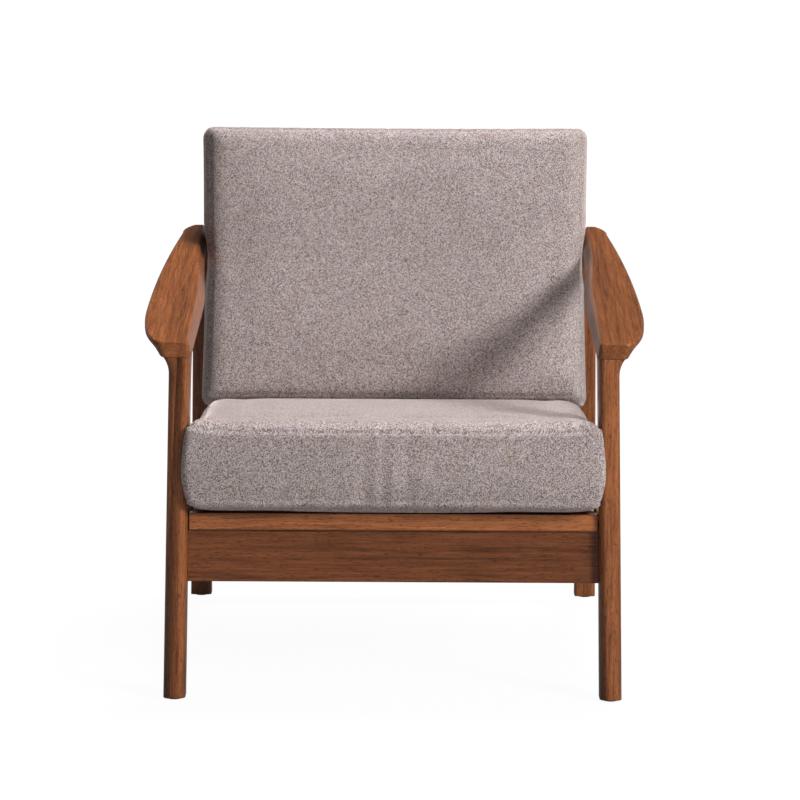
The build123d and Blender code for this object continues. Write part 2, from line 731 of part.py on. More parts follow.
boxing_profile = ((0, seam_inset), (0.5, 0), (1, seam_inset))
crown_profile = ((0, 0.0), (0.58, 0.14), (0.87, 0.42), (1, 1.0))
core_wall = cover_thickness + core_gap

# Seat cushion: its nose spreads in front of the legs, then it narrows round their rounded fronts
seat_base = deck_top.offset(cushion_gap)
seat_total = seat_boxing + seat_crown
seat_waist = leg_inner(apron_top + deck_thickness + seat_boxing) - leg_gap
seat_rear = deck_rear - cushion_gap
seat_nose = leg_y - cushion_overhang - apron_y
seat_middle = (seat_rear + seat_nose) / 2
seat_centre = seat_rear - rear_hold
seat_half = (seat_waist, seat_centre - seat_nose)
seat_pressed = Plane(
    seat_base.from_local_coords(Vector(0, seat_rear - press_reach, seat_total)), (1, 0, 0),
    z_dir=(0, sin(radians(seat_rake + press_angle)), cos(radians(seat_rake + press_angle))),
)


def seat_edges(rise, inset):
    """Right half of the seat's plan at a rise, drawn in by an inset; its upright nose leans with the deck."""
    forward = (deck_thickness + rise) * tan(radians(seat_rake))
    leg_round = (seat_waist + leg_gap + front_round, front_round - apron_setback - forward)
    radius = front_round + leg_gap
    nose = seat_nose - forward
    turn = on_circle(leg_round, radius, waist_angle)
    nose_radius = (turn[1] - nose - nose_bulge) / (1 - sin(radians(waist_angle)))
    nose_centre = on_circle(turn, nose_radius, waist_angle)
    nose_start = on_circle(leg_round, radius + inset, waist_angle)
    nose_mid = on_circle(nose_centre, nose_radius - inset, (waist_angle + 450) / 2)
    nose_end = on_circle(nose_centre, nose_radius - inset, 270)
    waist = on_circle(leg_round, radius + inset, 180)
    corner = (seat_waist - cushion_corner, seat_rear - cushion_corner)
    corner_mid = on_circle(corner, cushion_corner - inset, 45)
    side, rear = seat_waist - inset, seat_rear - inset
    return [
        ((0, nose + inset), (nose_end[0] / 2, nose + inset + nose_bulge / 4), nose_end),
        (nose_end, nose_mid, nose_start),
        (nose_start, on_circle(leg_round, radius + inset, (180 + waist_angle) / 2), waist),
        (waist, (side - side_draw, seat_middle), (side, corner[1])),
        ((side, corner[1]), corner_mid, (corner[0], rear)),
        ((corner[0], rear), (0, rear)),
    ]


seat_forms = []
for wall in (0, cover_thickness, core_wall):
    with BuildPart() as seat_form:
        for share, inset in boxing_profile:
            height = wall + share * (seat_boxing - wall)
            with BuildSketch(seat_base.offset(height)):
                with BuildLine():
                    outline(seat_edges(height, inset + wall), seat_half, seat_centre, 0)
                make_face()
        loft()
        for share, reach in crown_profile:
            height = seat_boxing + share * (seat_crown - wall)
            edges = seat_edges(height, seam_inset + wall)
            with BuildSketch(seat_base.offset(height)):
                with BuildLine():
                    outline(edges, seat_half, seat_centre, reach * crown_reach)
                make_face()
        loft()
        split(bisect_by=seat_pressed.offset(-wall), keep=Keep.BOTTOM)
    seat_forms.append(seat_form.part)

with BuildPart() as seat_cover:
    add(seat_forms[0])
    add(seat_forms[1], mode=Mode.SUBTRACT)
    with BuildSketch(seat_base):
        with Locations((0, seat_rear - zip_inset)):
            Rectangle(zip_length, zip_width)
    extrude(amount=zip_depth, mode=Mode.SUBTRACT)
keep(seat_cover, "seat_cushion_cover")

with BuildPart() as seat_core:
    add(seat_forms[2])
keep(seat_core, "seat_cushion_core")

with BuildPart() as seat_zip:
    with BuildSketch(seat_base):
        with Locations((0, seat_rear - zip_inset)):
            Rectangle(zip_length - 2 * zip_gap, zip_width - 2 * zip_gap)
    extrude(amount=zip_depth - zip_gap)
keep(seat_zip, "seat_cushion_zip")

# Back cushion: leans on the slats, and its lower side lies flat on the seat cushion that it presses down
back_base = back_face.offset(cushion_gap)
seat_rest = seat_pressed.offset(cushion_gap)
rest_angle = radians(back_lean - seat_rake - press_angle)
rest_line = back_base.to_local_coords(meets(back_base.origin, back_base.y_dir, seat_rest))
back_bottom = rest_line.Y - back_boxing * tan(rest_angle)
back_top = back_bottom + back_cushion_height
back_half = (frame_half - cushion_gap, back_cushion_height / 2)
back_centre = (back_bottom + back_top) / 2
low_corner = (back_half[0] - cushion_corner, back_bottom + cushion_corner)
high_corner = (back_half[0] - cushion_corner, back_top - cushion_corner)


def back_edges(inset):
    """Right half of the back cushion's outline, inside an inset."""
    side, bottom, top = back_half[0] - inset, back_bottom + inset, back_top - inset
    low_mid = on_circle(low_corner, cushion_corner - inset, 315)
    high_mid = on_circle(high_corner, cushion_corner - inset, 45)
    return [
        ((0, bottom), (low_corner[0], bottom)),
        ((low_corner[0], bottom), low_mid, (side, low_corner[1])),
        ((side, low_corner[1]), (side - side_draw, back_centre), (side, high_corner[1])),
        ((side, high_corner[1]), high_mid, (high_corner[0], top)),
        ((high_corner[0], top), (high_corner[0] / 2, top - 3 / 4 * top_draw), (0, top - top_draw)),
    ]


back_forms = []
for wall in (0, cover_thickness, core_wall):
    with BuildPart() as back_form:
        for share, inset in boxing_profile:
            with BuildSketch(back_base.offset(wall + share * (back_boxing - wall))):
                with BuildLine():
                    outline(back_edges(inset + wall), back_half, back_centre, 0)
                make_face()
        loft()
        for share, reach in crown_profile:
            with BuildSketch(back_base.offset(back_boxing + share * (back_crown - wall))):
                with BuildLine():
                    outline(back_edges(seam_inset + wall), back_half, back_centre, reach * crown_reach)
                make_face()
        loft()
        split(bisect_by=seat_rest.offset(wall), keep=Keep.TOP)
    back_forms.append(back_form.part)

back_zip_y = rest_line.Y + zip_inset
with BuildPart() as back_cover:
    add(back_forms[0])
    add(back_forms[1], mode=Mode.SUBTRACT)
    with BuildSketch(back_base):
        with Locations((0, back_zip_y)):
            Rectangle(zip_length, zip_width)
    extrude(amount=zip_depth, mode=Mode.SUBTRACT)
keep(back_cover, "back_cushion_cover")

with BuildPart() as back_core:
    add(back_forms[2])
keep(back_core, "back_cushion_core")

with BuildPart() as back_zip:
    with BuildSketch(back_base):
        with Locations((0, back_zip_y)):
            Rectangle(zip_length - 2 * zip_gap, zip_width - 2 * zip_gap)
    extrude(amount=zip_depth - zip_gap)
keep(back_zip, "back_cushion_zip")
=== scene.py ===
"""Looks of a lounge armchair: lacquered walnut-stained frame, two loose box cushions, a studio stage.

Metres. The front faces -Y, up is +Z, and the origin is on the floor under the middle of the chair.
"""

import json
import math

import bmesh
import bpy
import numpy as np
from mathutils import Matrix, Vector


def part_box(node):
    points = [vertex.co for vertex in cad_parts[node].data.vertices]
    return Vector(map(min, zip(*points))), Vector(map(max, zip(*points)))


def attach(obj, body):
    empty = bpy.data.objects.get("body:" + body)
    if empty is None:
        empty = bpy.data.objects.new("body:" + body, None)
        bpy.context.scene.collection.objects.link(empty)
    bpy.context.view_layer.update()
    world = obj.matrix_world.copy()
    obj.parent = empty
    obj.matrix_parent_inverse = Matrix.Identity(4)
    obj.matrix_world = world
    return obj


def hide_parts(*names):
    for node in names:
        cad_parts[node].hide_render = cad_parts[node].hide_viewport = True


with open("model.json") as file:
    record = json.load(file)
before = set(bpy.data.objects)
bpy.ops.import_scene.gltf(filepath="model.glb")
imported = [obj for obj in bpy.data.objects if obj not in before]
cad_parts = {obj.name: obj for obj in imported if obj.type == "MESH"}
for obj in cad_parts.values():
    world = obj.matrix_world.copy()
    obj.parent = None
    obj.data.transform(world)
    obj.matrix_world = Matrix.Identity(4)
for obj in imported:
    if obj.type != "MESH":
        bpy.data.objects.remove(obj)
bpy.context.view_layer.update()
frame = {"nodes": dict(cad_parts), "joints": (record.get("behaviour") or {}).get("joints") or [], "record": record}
NODES = frame["nodes"]
SLOTS = {part["node"]: part["material_slot"] for part in frame["record"]["subparts"]}
SLIDES = {joint["child"]: np.array(joint["axis"]) for joint in frame["joints"]}
MM = 0.001

bl_info = {
    "name": "Lounge armchair looks",
    "version": (1, 0, 0),
    "blender": (4, 5, 0),
    "location": "3D view > Sidebar > Armchair",
    "description": "Finishes, cushions, fittings and stage of a wooden lounge armchair",
    "category": "Object",
}


def linear(code):
    """Linear RGBA of an sRGB hex colour."""
    srgb = np.array([int(code[i:i + 2], 16) for i in (1, 3, 5)]) / 255
    low = srgb / 12.92
    high = ((srgb + 0.055) / 1.055) ** 2.4
    return (*np.where(srgb <= 0.04045, low, high).tolist(), 1.0)


def colour(label, note, code):
    """A colour property with an sRGB default."""
    return bpy.props.FloatVectorProperty(
        name=label, description=note, default=linear(code), size=4, min=0, max=1, subtype="COLOR"
    )


def length(label, note, millimetres):
    """A length property with its default in millimetres."""
    return bpy.props.FloatProperty(
        name=label, description=note, default=millimetres * MM, min=0, precision=4,
        unit="LENGTH", subtype="DISTANCE",
    )


class ChairFinishes(bpy.types.PropertyGroup):
    """Colours of the chair's finishes."""

    walnut_light: colour("Walnut, light", "Stained wood between its darker bands", "#A86438")
    walnut_dark: colour("Walnut, dark", "Darker bands of the stained wood", "#5A3119")
    walnut_pore: colour("Walnut, pores", "Stain that has gathered in the pores", "#341C14")
    # Painted shade: the rails are stained darker than the rest of the frame, standing in for the shade under the
    # seat's overhang on the front apron
    rail_light: colour("Rails, light", "Darker stained wood of the rails between the legs", "#8A4F2C")
    rail_dark: colour("Rails, dark", "Darker bands of those rails", "#4D2914")
    # Partly a paler board, partly painted light: the strip is paler also for the glossy light it catches above the
    # shaded apron
    strip_light: colour("Front strip, light", "Paler stained wood of the strip under the cushion", "#BE7443")
    strip_dark: colour("Front strip, dark", "Darker bands of that strip", "#733F20")
    plain_light: colour("Bare wood, light", "Unstained wood of hidden pieces", "#D9BC94")
    plain_dark: colour("Bare wood, dark", "Darker bands of the unstained wood", "#BF9868")
    yarn: colour("Yarn", "Main yarn of the cushions", "#988A86")
    yarn_light: colour("Yarn, light", "Pale flecks of the heathered yarn", "#CBBFBC")
    yarn_dark: colour("Yarn, dark", "Dark flecks of the heathered yarn", "#4A3F3D")
    thread: colour("Thread", "Sewing thread in the cushions' seams", "#776A66")
    yarn_mauve: colour("Yarn, mauve", "Cooler cast in patches of the yarn", "#978A91")
    yarn_beige: colour("Yarn, beige", "Warmer cast in patches of the yarn", "#9E8E7D")
    tape: colour("Zip", "Zip tape and its moulded teeth", "#6F6460")
    zinc: colour("Zinc", "Bright zinc on bolts and screws", "#C9CBCC")
    nylon: colour("Nylon", "Glides under the feet", "#1E1B1A")


class ChairSizes(bpy.types.PropertyGroup):
    """Sizes of the chair's soft pieces."""

    voxel: length("Cloth mesh", "Size of the covers' even mesh before it is smoothed", 6.5)
    cover: length("Cover", "Distance of the covers from their foam", 3.0)
    seat_puff: length("Seat fullness", "How far the seat's cover may swell from its foam", 7.0)
    back_puff: length("Back fullness", "How far the back's cover may swell from its foam", 6.0)
    seat_seam: length("Seat seam", "Height of the seat's upper seam above its base", 118.0)
    back_seam: length("Back seam", "Distance of the back's front seam from its rear face", 119.0)
    low_seam: length("Lower seam", "Distance of the second seam from the cushion's base", 9.0)
    seam_depth: length("Seam depth", "How far a seam pulls the cover in", 2.4)
    seam_width: length("Seam width", "Half width of the valley along a seam", 2.4)
    pucker: length("Pucker", "Height of the small gathers beside a seam", 0.5)
    stitch: length("Stitch", "Length of one stitch", 3.2)
    stitch_pitch: length("Stitch pitch", "One stitch to the next", 4.6)
    thread: length("Thread", "Thickness of the sewing thread", 0.7)


def add_node(tree, kind, inputs=None, stops=None, **settings):
    """One node with its settings; inputs hold values or the sockets to link, stops fill a ramp."""
    node = tree.nodes.new(kind)
    for name, value in settings.items():
        setattr(node, name, value)
    for key, value in (inputs or {}).items():
        if isinstance(value, bpy.types.NodeSocket):
            tree.links.new(value, node.inputs[key])
        else:
            node.inputs[key].default_value = value
    for place, shade in stops or ():
        known = node.color_ramp.elements
        element = known[0] if place == 0 else known[-1] if place == 1 else known.new(place)
        element.color = shade
    return node


def new_material(name):
    """An empty node material with its output and principled shader."""
    material = bpy.data.materials.new(name)
    material.use_nodes = True
    tree = material.node_tree
    tree.nodes.clear()
    output = add_node(tree, "ShaderNodeOutputMaterial")
    shader = add_node(tree, "ShaderNodeBsdfPrincipled")
    tree.links.new(shader.outputs["BSDF"], output.inputs["Surface"])
    return material, tree, shader


def grain_turn(direction):
    """Euler angles that turn a grain direction onto X."""
    return Vector(direction).rotation_difference(Vector((1, 0, 0))).to_euler("XYZ")


def lengthwise(node):
    """A piece's long direction: the first principal axis of its vertices."""
    points = np.array([v.co for v in NODES[node].data.vertices])
    spread = points - points.mean(0)
    return np.linalg.svd(spread, full_matrices=False)[2][0]


def middle_line(node):
    """Distance |x| of a leg's middle at the floor, and its rise with z: a line through two of its levels."""
    points = np.abs(coordinates(NODES[node].data))
    z = points[:, 2]
    foot = points[z < 30 * MM]
    shaft = points[(z > 0.4 * z.max()) & (z < 0.8 * z.max())]
    levels = [
        (part[:, 2].mean(), (part[:, 0].min() + part[:, 0].max()) / 2)
        for part in (foot, shaft) if len(part)
    ]
    if len(levels) < 2:
        return levels[0][1], 0.0
    rise = (levels[1][1] - levels[0][1]) / (levels[1][0] - levels[0][0])
    return levels[0][1] - rise * levels[0][0], rise


def wood(name, direction, light, dark, pore, lacquered, ease=1.4 * MM, axis=None):
    """Straight-grained hardwood, sawn and planed: broad bands, fine fibres and short dark pores.

    Lacquer gives it a satin gloss over a closed surface; bare wood is matt. With an axis, the distance |x|
    of a mirrored pair's middle line at the floor and its rise with z, the shading turns as over a front
    sanded round.
    """
    material, tree, shader = new_material(name)
    place = add_node(tree, "ShaderNodeTexCoord").outputs["Object"]
    turn = grain_turn(direction)
    turned = add_node(tree, "ShaderNodeMapping", {"Vector": place, "Rotation": turn}).outputs[0]

    def streaks(width, run, detail, offset):
        """Noise whose features are width across and run along the grain."""
        scale = (1 / run, 1 / width, 1 / width)
        laid = add_node(
            tree, "ShaderNodeMapping", {"Vector": turned, "Scale": scale, "Location": (offset,) * 3}
        ).outputs[0]
        inputs = {"Vector": laid, "Scale": 1.0, "Detail": detail, "Roughness": 0.6}
        return add_node(tree, "ShaderNodeTexNoise", inputs).outputs["Fac"]

    def weighted(value, weight, rest):
        """value times weight, plus the rest."""
        inputs = {0: value, 1: weight, 2: rest}
        return add_node(tree, "ShaderNodeMath", inputs, operation="MULTIPLY_ADD").outputs[0]

    bands = streaks(width=14 * MM, run=320 * MM, detail=2.0, offset=3.1)
    fibres = streaks(width=2.6 * MM, run=70 * MM, detail=3.0, offset=7.7)
    # Real pores are a quarter of a millimetre wide; they are drawn four times as wide to show
    pores = streaks(width=1.1 * MM, run=9 * MM, detail=1.0, offset=1.9)
    cloud = streaks(width=90 * MM, run=220 * MM, detail=1.0, offset=5.3)
    tone = weighted(cloud, 0.25, weighted(bands, 0.6, fibres))
    share = add_node(
        tree, "ShaderNodeMapRange", {"Value": tone, "From Min": 0.62, "From Max": 1.2}, clamp=True
    ).outputs[0]
    stain = add_node(tree, "ShaderNodeMix", {0: share, 6: dark, 7: light}, data_type="RGBA").outputs[2]
    pore_share = add_node(
        tree, "ShaderNodeMapRange",
        {"Value": pores, "From Min": 0.57, "From Max": 0.7, "To Max": 0.7}, clamp=True,
    ).outputs[0]
    base = add_node(tree, "ShaderNodeMix", {0: pore_share, 6: stain, 7: pore}, data_type="RGBA").outputs[2]
    tree.links.new(base, shader.inputs["Base Color"])
    smooth, coarse = (0.3, 0.42) if lacquered else (0.62, 0.78)
    gloss = add_node(
        tree, "ShaderNodeMapRange",
        {"Value": fibres, "From Min": 0.35, "From Max": 0.65, "To Min": smooth, "To Max": coarse}, clamp=True,
    ).outputs[0]
    tree.links.new(gloss, shader.inputs["Roughness"])
    height = weighted(pore_share, -0.6, fibres)
    # Sanded edges: the shading turns over them within a few millimetres
    eased = add_node(tree, "ShaderNodeBevel", {"Radius": ease}, samples=4).outputs[0]
    if axis:
        middle, rise = axis
        half_width = 17 * MM
        arc_radius = 18 * MM
        parts = add_node(tree, "ShaderNodeSeparateXYZ", {0: place}).outputs
        apart = add_node(tree, "ShaderNodeMath", {0: parts["X"]}, operation="ABSOLUTE").outputs[0]
        line = weighted(parts["Z"], rise, middle)
        off = add_node(tree, "ShaderNodeMath", {0: apart, 1: line}, operation="SUBTRACT").outputs[0]
        near = add_node(
            tree, "ShaderNodeClamp", {"Value": off, "Min": -half_width, "Max": half_width}
        ).outputs[0]
        square = add_node(tree, "ShaderNodeMath", {0: near, 1: near}, operation="MULTIPLY").outputs[0]
        # The height of the arc over the leg's width, in metres
        arc = add_node(
            tree, "ShaderNodeMath", {0: square, 1: -0.5 / arc_radius}, operation="MULTIPLY"
        ).outputs[0]
        eased = add_node(
            tree, "ShaderNodeBump", {"Height": arc, "Normal": eased, "Strength": 1.0, "Distance": 1.0}
        ).outputs[0]
    bump = add_node(
        tree, "ShaderNodeBump", {"Height": height, "Normal": eased, "Strength": 0.25, "Distance": 0.12 * MM}
    ).outputs[0]
    tree.links.new(bump, shader.inputs["Normal"])
    shader.inputs["IOR"].default_value = 1.5
    if lacquered:
        tree.links.new(eased, shader.inputs["Coat Normal"])
        shader.inputs["Specular IOR Level"].default_value = 0.3
        shader.inputs["Coat Weight"].default_value = 0.6
        shader.inputs["Coat Roughness"].default_value = 0.13
    return material


def heathered_cloth(finishes):
    """Woven chenille: soft short-napped yarn in mixed tones, with pale and dark flecks and a faint sheen."""
    material, tree, shader = new_material("heathered_woven_cloth")
    weave = add_node(tree, "ShaderNodeUVMap", uv_map="weave").outputs[0]

    def patches(size, offset):
        """Soft patches of about one size over the cloth."""
        inputs = {"Vector": weave, "Scale": (1 / size,) * 3, "Location": (offset,) * 3}
        laid = add_node(tree, "ShaderNodeMapping", inputs).outputs[0]
        noise = add_node(tree, "ShaderNodeTexNoise", {"Vector": laid, "Scale": 1.0, "Detail": 2.0})
        return noise.outputs["Fac"]

    def flecks(tint, end, ground, shade):
        """The ground, taken over by a shade where the tint nears an end of its range."""
        share = add_node(
            tree, "ShaderNodeMapRange", {"Value": tint, "From Min": 0.45, "From Max": end}, clamp=True
        ).outputs[0]
        inputs = {0: share, 6: ground, 7: tuple(shade)}
        return add_node(tree, "ShaderNodeMix", inputs, data_type="RGBA").outputs[2]

    # The yarns cross about every 0.6 mm; they are drawn coarser, so that they show
    pitch = 0.95 * MM
    counted = add_node(
        tree, "ShaderNodeVectorMath", {0: weave, "Scale": 1 / pitch}, operation="SCALE"
    ).outputs[0]
    cell = add_node(tree, "ShaderNodeVectorMath", {0: counted}, operation="FLOOR").outputs[0]
    noise = add_node(tree, "ShaderNodeTexWhiteNoise", {"Vector": cell}, noise_dimensions="2D")
    tint = noise.outputs["Value"]
    casts = (
        (0, tuple(finishes.yarn_mauve)),
        (1, tuple(finishes.yarn_beige)),
        (0.5, tuple(finishes.yarn)),
    )
    blend = patches(26 * MM, offset=6.1)
    ground = add_node(tree, "ShaderNodeValToRGB", {"Fac": blend}, stops=casts).outputs[0]
    light = flecks(tint, 1.0, ground, finishes.yarn_light)
    mixed = flecks(tint, 0.0, light, finishes.yarn_dark)
    cloud = patches(70 * MM, offset=4.7)
    shade = add_node(
        tree, "ShaderNodeMapRange",
        {"Value": cloud, "From Min": 0.3, "From Max": 0.7, "To Min": 0.94, "To Max": 1.05},
    ).outputs[0]
    base = add_node(tree, "ShaderNodeVectorMath", {0: mixed, "Scale": shade}, operation="SCALE").outputs[0]
    tree.links.new(base, shader.inputs["Base Color"])
    inside = add_node(tree, "ShaderNodeVectorMath", {0: counted}, operation="FRACTION").outputs[0]
    crown = add_node(
        tree, "ShaderNodeVectorMath", {0: inside, 1: (0.5, 0.5, 0)}, operation="DISTANCE"
    ).outputs["Value"]
    height = add_node(tree, "ShaderNodeMath", {0: tint, 1: crown}, operation="SUBTRACT").outputs[0]
    bump = add_node(tree, "ShaderNodeBump", {"Height": height, "Strength": 0.15, "Distance": 0.4 * MM})
    tree.links.new(bump.outputs[0], shader.inputs["Normal"])
    shader.inputs["Roughness"].default_value = 0.92
    shader.inputs["Specular IOR Level"].default_value = 0.2
    shader.inputs["Sheen Weight"].default_value = 1.0
    shader.inputs["Sheen Roughness"].default_value = 0.3
    shader.inputs["Sheen Tint"].default_value = tuple(finishes.yarn_light)
    return material


def moulded(name, base, rough):
    """Moulded plastic: an even colour with a fine satin grain."""
    material, tree, shader = new_material(name)
    place = add_node(tree, "ShaderNodeTexCoord").outputs["Object"]
    grain = 0.8 * MM
    noise = add_node(tree, "ShaderNodeTexNoise", {"Vector": place, "Scale": 1 / grain, "Detail": 2.0})
    grit = noise.outputs[0]
    gloss = add_node(
        tree, "ShaderNodeMapRange", {"Value": grit, "To Min": rough - 0.1, "To Max": rough + 0.1}
    )
    tree.links.new(gloss.outputs[0], shader.inputs["Roughness"])
    bump = add_node(tree, "ShaderNodeBump", {"Height": grit, "Strength": 0.2, "Distance": 0.05 * MM})
    tree.links.new(bump.outputs[0], shader.inputs["Normal"])
    shader.inputs["Base Color"].default_value = base
    return material


def zinc_plate(base):
    """Bright zinc plate on steel: a clean metal with faint milky patches."""
    material, tree, shader = new_material("bright_zinc_plate")
    place = add_node(tree, "ShaderNodeTexCoord").outputs["Object"]
    size = 2.5 * MM
    noise = add_node(tree, "ShaderNodeTexNoise", {"Vector": place, "Scale": 1 / size, "Detail": 3.0})
    patch = noise.outputs[0]
    gloss = add_node(tree, "ShaderNodeMapRange", {"Value": patch, "To Min": 0.22, "To Max": 0.42})
    tree.links.new(gloss.outputs[0], shader.inputs["Roughness"])
    shader.inputs["Base Color"].default_value = base
    shader.inputs["Metallic"].default_value = 1.0
    return material


def dress(node, material):
    """Puts a material on a CAD node's object."""
    slots = NODES[node].data.materials
    slots.clear()
    slots.append(material)


def new_piece(name, points, faces, body, material):
    """A mesh object from whole arrays, riding on a body."""
    mesh = bpy.data.meshes.new(name)
    mesh.from_pydata(points.tolist(), [], faces.tolist())
    mesh.materials.append(material)
    mesh.polygons.foreach_set("use_smooth", np.ones(len(faces), bool))
    piece = bpy.data.objects.new(name, mesh)
    bpy.context.scene.collection.objects.link(piece)
    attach(piece, body)
    return piece


def coordinates(mesh):
    """Vertex places as an array of rows."""
    flat = np.empty(len(mesh.vertices) * 3)
    mesh.vertices.foreach_get("co", flat)
    return flat.reshape(-1, 3)


def normals(mesh):
    """Vertex normals as an array of rows."""
    flat = np.empty(len(mesh.vertices) * 3)
    mesh.vertex_normals.foreach_get("vector", flat)
    return flat.reshape(-1, 3)


def place_points(mesh, points):
    """Writes vertex places back."""
    mesh.vertices.foreach_set("co", points.ravel())
    mesh.update()


def finished_copy(piece):
    """The mesh of an object with its modifiers applied."""
    graph = bpy.context.evaluated_depsgraph_get()
    return bpy.data.meshes.new_from_object(piece.evaluated_get(graph))


class CushionFrame:
    """Axes of a cushion: along its slide, out from what carries it, and across the chair.

    run is how much of the cloth's pattern goes on a metre of the outer panel, across and along.
    """

    def __init__(self, body, cover, run=(1.0, 1.0)):
        self.run = run
        self.along = SLIDES[body] / np.linalg.norm(SLIDES[body])
        side = np.cross((1, 0, 0), self.along)
        self.out = side if side[2] > 0 else -side
        points = coordinates(NODES[cover].data)
        self.base = (points @ self.out).min()
        self.full = (points @ self.out).max() - self.base
        self.half = np.abs(points[:, 0]).max()
        self.rear, self.front = (points @ self.along).min(), (points @ self.along).max()

    def local(self, points):
        """Columns across, along and out."""
        return np.stack([points[:, 0], points @ self.along, points @ self.out - self.base], axis=1)

    def world(self, local):
        """The inverse of local."""
        across = local[:, :1] * np.array([[1.0, 0.0, 0.0]])
        return across + local[:, 1:2] * self.along + (local[:, 2:] + self.base) * self.out


def even_foam(name, core, voxel):
    """A closed copy of a foam core with an even mesh."""
    mesh = NODES[core].data.copy()
    merged = bmesh.new()
    merged.from_mesh(mesh)
    bmesh.ops.remove_doubles(merged, verts=merged.verts, dist=0.01 * MM)
    merged.to_mesh(mesh)
    merged.free()
    rough = bpy.data.objects.new(name, mesh)
    bpy.context.scene.collection.objects.link(rough)
    even = rough.modifiers.new("even", "REMESH")
    even.mode = "VOXEL"
    even.voxel_size = voxel
    foam = finished_copy(rough)
    bpy.data.objects.remove(rough)
    return foam


def swollen(foam, held, pressure):
    """Places of the foam's points after cloth pressure has blown it up, with the held points pinned."""
    pad = bpy.data.objects.new("swelling", foam.copy())
    scene = bpy.context.scene
    scene.collection.objects.link(pad)
    seams = pad.vertex_groups.new(name="seams")
    seams.add(np.flatnonzero(held).tolist(), 1.0, "REPLACE")
    cloth = pad.modifiers.new("swell", "CLOTH")
    settings = cloth.settings
    settings.quality = 5
    settings.mass = 0.4
    settings.use_pressure = True
    settings.uniform_pressure_force = pressure
    settings.vertex_group_mass = seams.name
    settings.effector_weights.gravity = 0
    frames = 20
    cloth.point_cache.frame_start = 1
    cloth.point_cache.frame_end = frames
    for number in range(1, frames + 1):
        scene.frame_set(number)
    graph = bpy.context.evaluated_depsgraph_get()
    points = coordinates(pad.evaluated_get(graph).data)
    bpy.data.objects.remove(pad)
    scene.frame_set(1)
    return points


def limited(step, cap):
    """Displacements shortened, where they are longer, to a cap for each point."""
    size = np.linalg.norm(step, axis=1)
    return step * np.minimum(1, cap / np.maximum(size, 1e-9))[:, None]


def ramp(value, low, high):
    """0 below low, 1 above high, and a smooth step between."""
    share = np.clip((value - low) / (high - low), 0, 1)
    return share * share * (3 - 2 * share)


def bell(distance, width):
    """1 at zero distance, falling to nothing a few widths away."""
    return np.exp(-(distance / width) ** 2)


def ripple(along, spacing, seed):
    """A smooth uneven wave of about unit height along a line: five sines of near spacings."""
    draws = np.random.default_rng(seed)
    waves = 2 * math.pi / (spacing * draws.uniform(0.7, 1.6, 5))
    phases = draws.uniform(0, 2 * math.pi, 5)
    return np.sin(along[:, None] * waves + phases).sum(1) / 2.5


def weave_map(mesh, axes, seam):
    """UV map of the cloth in metres: each face is laid flat along the two cushion axes that it faces least.

    Faces beyond the seam belong to the outer panel, whose flecks are stretched by the frame's run.
    """
    local = axes.local(coordinates(mesh))
    count = len(mesh.polygons)
    flat = np.empty(count * 3)
    mesh.polygons.foreach_get("normal", flat)
    turned = flat.reshape(-1, 3) @ np.stack([np.array([1.0, 0, 0]), axes.along, axes.out], axis=1)
    facing = np.abs(turned).argmax(1)
    middles = np.empty(count * 3)
    mesh.polygons.foreach_get("center", middles)
    facing[axes.local(middles.reshape(-1, 3))[:, 2] > seam] = 2
    first = np.where(facing == 0, 1, 0)
    second = np.where(facing == 2, 1, 2)
    sizes = np.empty(count, int)
    mesh.polygons.foreach_get("loop_total", sizes)
    corners = np.empty(len(mesh.loops), int)
    mesh.loops.foreach_get("vertex_index", corners)
    u = local[corners, np.repeat(first, sizes)]
    v = local[corners, np.repeat(second, sizes)]
    layer = mesh.uv_layers.new(name="weave")
    # On the outer panel the flecks are longer along the slide; over its edges they keep their size
    outer = np.repeat(facing, sizes) == 2
    drop = axes.full - local[corners, 2]
    u = np.where(outer, u * axes.run[0] + drop * u / axes.half, u)
    v = np.where(outer, v * axes.run[1] + drop * (1 - axes.run[1]), v)
    # Each way of facing has its own stretch of cloth, farther along than any cushion is long
    apart = 0.9 * np.repeat(facing, sizes)
    layer.data.foreach_set("uv", np.stack([u, v + apart], axis=1).ravel())


def seam_loop(mesh, axes, level):
    """The cushion's outline at a level: points where edges cross it, in order round its middle."""
    local = axes.local(coordinates(mesh))
    ends = np.empty(len(mesh.edges) * 2, int)
    mesh.edges.foreach_get("vertices", ends)
    ends = ends.reshape(-1, 2)
    low, high = local[ends[:, 0]], local[ends[:, 1]]
    crossing = (low[:, 2] - level) * (high[:, 2] - level) < 0
    low, high = low[crossing], high[crossing]
    share = ((level - low[:, 2]) / (high[:, 2] - low[:, 2]))[:, None]
    loop = low + share * (high - low)
    middle = (axes.rear + axes.front) / 2
    order = np.argsort(np.arctan2(loop[:, 1] - middle, loop[:, 0]))
    return loop[order]


def even_walk(loop, pitch):
    """Points of a closed loop at an even pitch, with the direction of travel at each."""
    closed = np.vstack([loop, loop[:1]])
    steps = np.linalg.norm(np.diff(closed, axis=0), axis=1)
    walked = np.concatenate([[0], np.cumsum(steps)])
    count = int(walked[-1] / pitch)
    stops = np.arange(count) * walked[-1] / count
    points = np.stack([np.interp(stops, walked, closed[:, i]) for i in range(3)], axis=1)
    heading = np.roll(points, -1, axis=0) - np.roll(points, 1, axis=0)
    return points, heading / np.linalg.norm(heading, axis=1)[:, None]


def ring_faces(rings, sides):
    """Quads of a tube of rings, open at its ends."""
    ring, side = np.meshgrid(np.arange(rings - 1), np.arange(sides), indexing="ij")
    turn = (side + 1) % sides
    quads = [ring * sides + side, ring * sides + turn, (ring + 1) * sides + turn, (ring + 1) * sides + side]
    return np.stack(quads, axis=-1).reshape(-1, 4)


